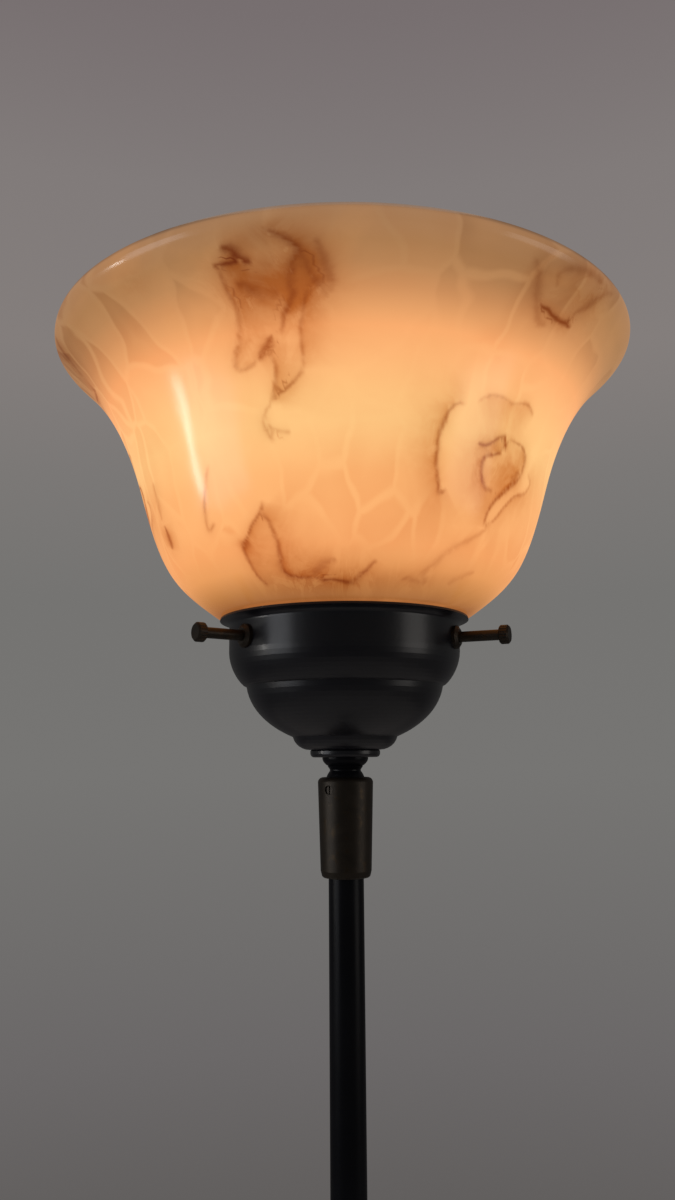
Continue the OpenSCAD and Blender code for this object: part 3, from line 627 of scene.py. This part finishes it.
# The same smoke again on the far side: turn, whether it is flipped, and rise
REPEATS = ((150, True, 6), (232, False, -4))


def all_threads():
    for width, strength, side, points in THREADS:
        yield width, strength, side, points
        for turn, flipped, rise in REPEATS:
            yield (width, strength, -side if flipped else side,
                   [(turn + (-a if flipped else a), h + rise * (93 < h < 188))
                    for a, h in points])


def all_veils():
    for strength, angle, height, wide, high in VEILS:
        yield strength, angle, height, wide, high
        for turn, flipped, rise in REPEATS:
            yield strength, turn + (-angle if flipped else angle), height + rise, wide, high


def softened(points, cuts=5):
    """The same points with a smooth line run through them."""
    ends = np.vstack([2 * points[0] - points[1], points, 2 * points[-1] - points[-2]])
    made = []
    for p0, p1, p2, p3 in zip(ends[:-3], ends[1:-2], ends[2:-1], ends[3:]):
        for t in np.arange(cuts) / cuts:
            made.append(0.5 * (2 * p1 + (p2 - p0) * t + (2 * p0 - 5 * p1 + 4 * p2 - p3) * t ** 2
                               + (3 * p1 - p0 - 3 * p2 + p3) * t ** 3))
    return np.array(made + [points[-1]])


def angle_between(a, b):
    return (a - b + 180) % 360 - 180


def from_line(flat, line):
    """The distance of each point from the line, the side it lies on (1 left of
    the run, -1 right), and the share of the line passed where it is nearest."""
    away = np.full(len(flat), 99.0)
    side = np.ones(len(flat))
    passed = np.zeros(len(flat))
    for step, (a, b) in enumerate(zip(line[:-1], line[1:])):
        run = b - a
        share = np.clip(((flat - a) @ run) / max(run @ run, 1e-9), 0, 1)
        off = flat - a - share[:, None] * run
        gap = np.linalg.norm(off, axis=1)
        left = np.where(run[0] * off[:, 1] - run[1] * off[:, 0] > 0, 1.0, -1.0)
        side = np.where(gap < away, left, side)
        passed = np.where(gap < away, (step + share) / (len(line) - 1), passed)
        away = np.minimum(away, gap)
    return away, side, passed


def mark_threads(angle, along, wide, outer, run):
    """For each point of the bell: the signed distance to its nearest thread in
    half widths of that thread, the thread's strength, and the haze beside it."""
    off = np.full(len(angle), FAR_OFF)
    ink = np.zeros(len(angle))
    haze = np.zeros(len(angle))
    for width, strength, sheet, points in all_threads():
        points = softened(np.array(points, float))
        middle = points[:, 0].mean()
        line = np.stack([
            np.radians(points[:, 0] - middle) * np.interp(points[:, 1], outer[:, 1], outer[:, 0]),
            np.interp(points[:, 1], outer[:, 1], run)], 1)
        spin = angle_between(angle, middle)
        close = np.flatnonzero((np.abs(spin) < NEAR_ANGLE)
                               & (along > line[:, 1].min() - NEAR_ALONG)
                               & (along < line[:, 1].max() + NEAR_ALONG))
        flat = np.stack([np.radians(spin[close]) * wide[close], along[close]], 1)
        away, side, passed = from_line(flat, line)
        swell = np.sin(np.pi * passed)
        here = away / np.maximum(width * (SLIM + SWELL * swell), THINNEST)
        nearer = here < np.abs(off[close])
        off[close[nearer]] = (side * here)[nearer]
        ink[close[nearer]] = (strength * np.minimum(1, END_FADE * swell) * (here < INK_REACH))[nearer]
        beside_it = np.maximum(HALO * np.exp(-(away / (width * HALO_WIDTHS)) ** 2),
                               SHEET * (side * sheet > 0) * np.exp(-away / SHEET_DEPTH))
        haze[close] = 1 - (1 - haze[close]) * (1 - strength * np.sqrt(swell) * beside_it)
    return off, ink, haze


def mark_smoke(piece, outer):
    """Stores the way along the glass and the smoke on the piece's points, for its
    finish to read."""
    count = len(piece.data.vertices)
    place = np.empty(count * 3)
    piece.data.vertices.foreach_get("co", place)
    place = place.reshape(-1, 3)
    run = np.r_[0, np.cumsum(np.linalg.norm(np.diff(outer, axis=0), axis=1))]
    rise = (place[:, 2] - ball.z) / MM
    along = np.interp(rise, outer[:, 1], run)
    angle = np.degrees(np.arctan2(place[:, 0], -place[:, 1]))
    wide = np.interp(rise, outer[:, 1], outer[:, 0])
    off, ink, haze = mark_threads(angle, along, wide, outer, run)

    veil = np.zeros(count)
    for strength, middle, height, half_angle, half_height in all_veils():
        u = angle_between(angle, middle) / half_angle
        v = (rise - height) / half_height
        veil = veil + strength * np.exp(-(u * u + v * v))

    start = np.interp(BELL_FOOT[1], outer[:, 1], run)
    up = np.clip((along - start) / (run[-1] - start), 0, 1)
    rim_line = np.interp(rise, [RIM[1] - RIM_LINE_H, RIM[1] - 0.3], [0, 1])
    up = np.where(rise > RIM[1] - RIM_LINE_H, RIM_SHARE + (1 - RIM_SHARE) * rim_line,
                  up * RIM_SHARE)
    turn = np.radians(angle)
    flow = np.stack([np.sin(turn) * FLOW_RADIUS, -np.cos(turn) * FLOW_RADIUS, along * MM], 1)
    for name, kind, values in (("flow", "FLOAT_VECTOR", flow), ("up", "FLOAT", up),
                               ("off", "FLOAT", off), ("ink", "FLOAT", ink),
                               ("haze", "FLOAT", haze),
                               ("veil", "FLOAT", np.minimum(veil, 1.0))):
        made = piece.data.attributes.new(name, kind, "POINT")
        made.data.foreach_set("vector" if kind == "FLOAT_VECTOR" else "value",
                              values.astype(np.float32).ravel())


def make_bell():
    outer = bell_outer()
    outline = bell_outline(outer) * MM + (0, ball.z)
    bell = turned("marbled_bell", outline, BELL_STEPS, 40)
    mark_smoke(bell, outer)
    bell.data.materials.append(FINISHES["shade_glass"])
    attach(bell, "shade")
    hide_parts("glass_shade")
    return bell


# ---------------------------------------------------------------- room and camera

FLOOR_R = 2.4
FLOOR_T = 0.02
FLOOR_EDGE = 0.004


def make_floor():
    bpy.ops.object.select_all(action="DESELECT")
    bpy.ops.mesh.primitive_cylinder_add(vertices=128, radius=FLOOR_R, depth=FLOOR_T,
                                        location=(0, 0, -FLOOR_T / 2))
    floor = bpy.context.object
    floor.name = "floor"
    bpy.ops.object.transform_apply(location=True)
    bpy.ops.object.mode_set(mode="EDIT")
    bpy.ops.mesh.select_all(action="SELECT")
    bpy.ops.mesh.bevel(offset=FLOOR_EDGE, segments=2)
    bpy.ops.object.mode_set(mode="OBJECT")
    floor.data.materials.append(floor_finish())


# Screen colours of the room behind, by the sine of the height looked at
ROOM = (
    (-1.00, (92, 88, 88)),
    (-0.39, (98, 95, 94)),
    (-0.28, (107, 104, 104)),
    (-0.19, (111, 109, 108)),
    (-0.02, (118, 117, 115)),
    (0.16, (117, 116, 114)),
    (0.28, (123, 120, 118)),
    (0.40, (132, 126, 124)),
    (0.54, (129, 123, 122)),
    (0.66, (119, 111, 112)),
    (1.00, (112, 106, 106)),
)
ROOM_LIGHT = 0.38


def make_room():
    """A plain backdrop that is shown as given but lights the lamp more softly."""
    world = bpy.context.scene.world or bpy.data.worlds.new("room")
    bpy.context.scene.world = world
    f = Finish("room", world)
    looking = f.node("ShaderNodeTexCoord", out="Generated")
    split = f.node("ShaderNodeSeparateXYZ", None, {0: looking})
    height = Wire(f, split.socket.node.outputs[2])
    colour = f.stops(height * 0.5 + 0.5,
                     [(0.5 + 0.5 * place, linear(*shade)) for place, shade in ROOM])
    seen = f.node("ShaderNodeLightPath", out="Is Camera Ray")
    back = f.node("ShaderNodeBackground", None,
                  {"Color": colour, "Strength": ROOM_LIGHT + seen * (1 - ROOM_LIGHT)})
    f.node("ShaderNodeOutputWorld", None, {"Surface": back})


def add_window(name, azimuth, elevation, distance, size, power, colour):
    """A flat light that faces the bell from the given side."""
    aim = ball + Vector((0, 0, 0.10))
    a, e = math.radians(azimuth), math.radians(elevation)
    back = Vector((math.sin(a) * math.cos(e), -math.cos(a) * math.cos(e), math.sin(e)))
    light = bpy.data.lights.new(name, "AREA")
    light.shape = "RECTANGLE"
    light.size, light.size_y = size
    light.energy = power
    light.color = colour
    lamp = bpy.data.objects.new(name, light)
    bpy.context.scene.collection.objects.link(lamp)
    lamp.location = aim + back * distance
    lamp.rotation_euler = (-back).to_track_quat("-Z", "Y").to_euler()
    lamp.visible_camera = False


def make_lights():
    """Azimuth and elevation in degrees, distance and size in metres, power in watts."""
    add_window("window_gap", -90, -5, 1.6, (0.035, 0.28), 1.2, (1.0, 0.97, 0.92))
    add_window("window_left", -72, -2, 1.8, (0.8, 0.9), 3.6, (0.93, 0.95, 1.0))
    add_window("window_right", 64, -2, 2.4, (1.1, 1.2), 4.5, (1.0, 0.95, 0.9))
    add_window("ceiling", 0, 88, 2.6, (2.4, 2.4), 15, (1.0, 0.97, 0.94))


CAMERA_SIDE = -7.0
CAMERA_AWAY = 0.442
CAMERA_RISE = 0.013
CAMERA_PITCH = 9.35
CAMERA_YAW = 0.40
CAMERA_ROLL = -0.40
LENS = 28.26


def make_camera():
    a = math.radians(CAMERA_SIDE)
    heading = a + math.radians(CAMERA_YAW)
    pitch = math.radians(CAMERA_PITCH)
    look = Vector((-math.sin(heading) * math.cos(pitch), math.cos(heading) * math.cos(pitch),
                   math.sin(pitch)))
    data = bpy.data.cameras.new("camera")
    data.sensor_width = 36
    data.lens = LENS
    data.clip_start = 0.01
    camera = bpy.data.objects.new("camera", data)
    bpy.context.scene.collection.objects.link(camera)
    camera.location = ball + Vector((CAMERA_AWAY * math.sin(a), -CAMERA_AWAY * math.cos(a),
                                     CAMERA_RISE))
    camera.rotation_mode = "QUATERNION"
    camera.rotation_quaternion = (look.to_track_quat("-Z", "Y")
                                  @ Quaternion((0, 0, 1), math.radians(CAMERA_ROLL)))
    bpy.context.scene.camera = camera


# ---------------------------------------------------------------- make it all

bpy.context.scene.view_settings.view_transform = "Standard"
make_camera()
finish_nodes()
make_bell()
make_floor()
make_room()
make_lights()
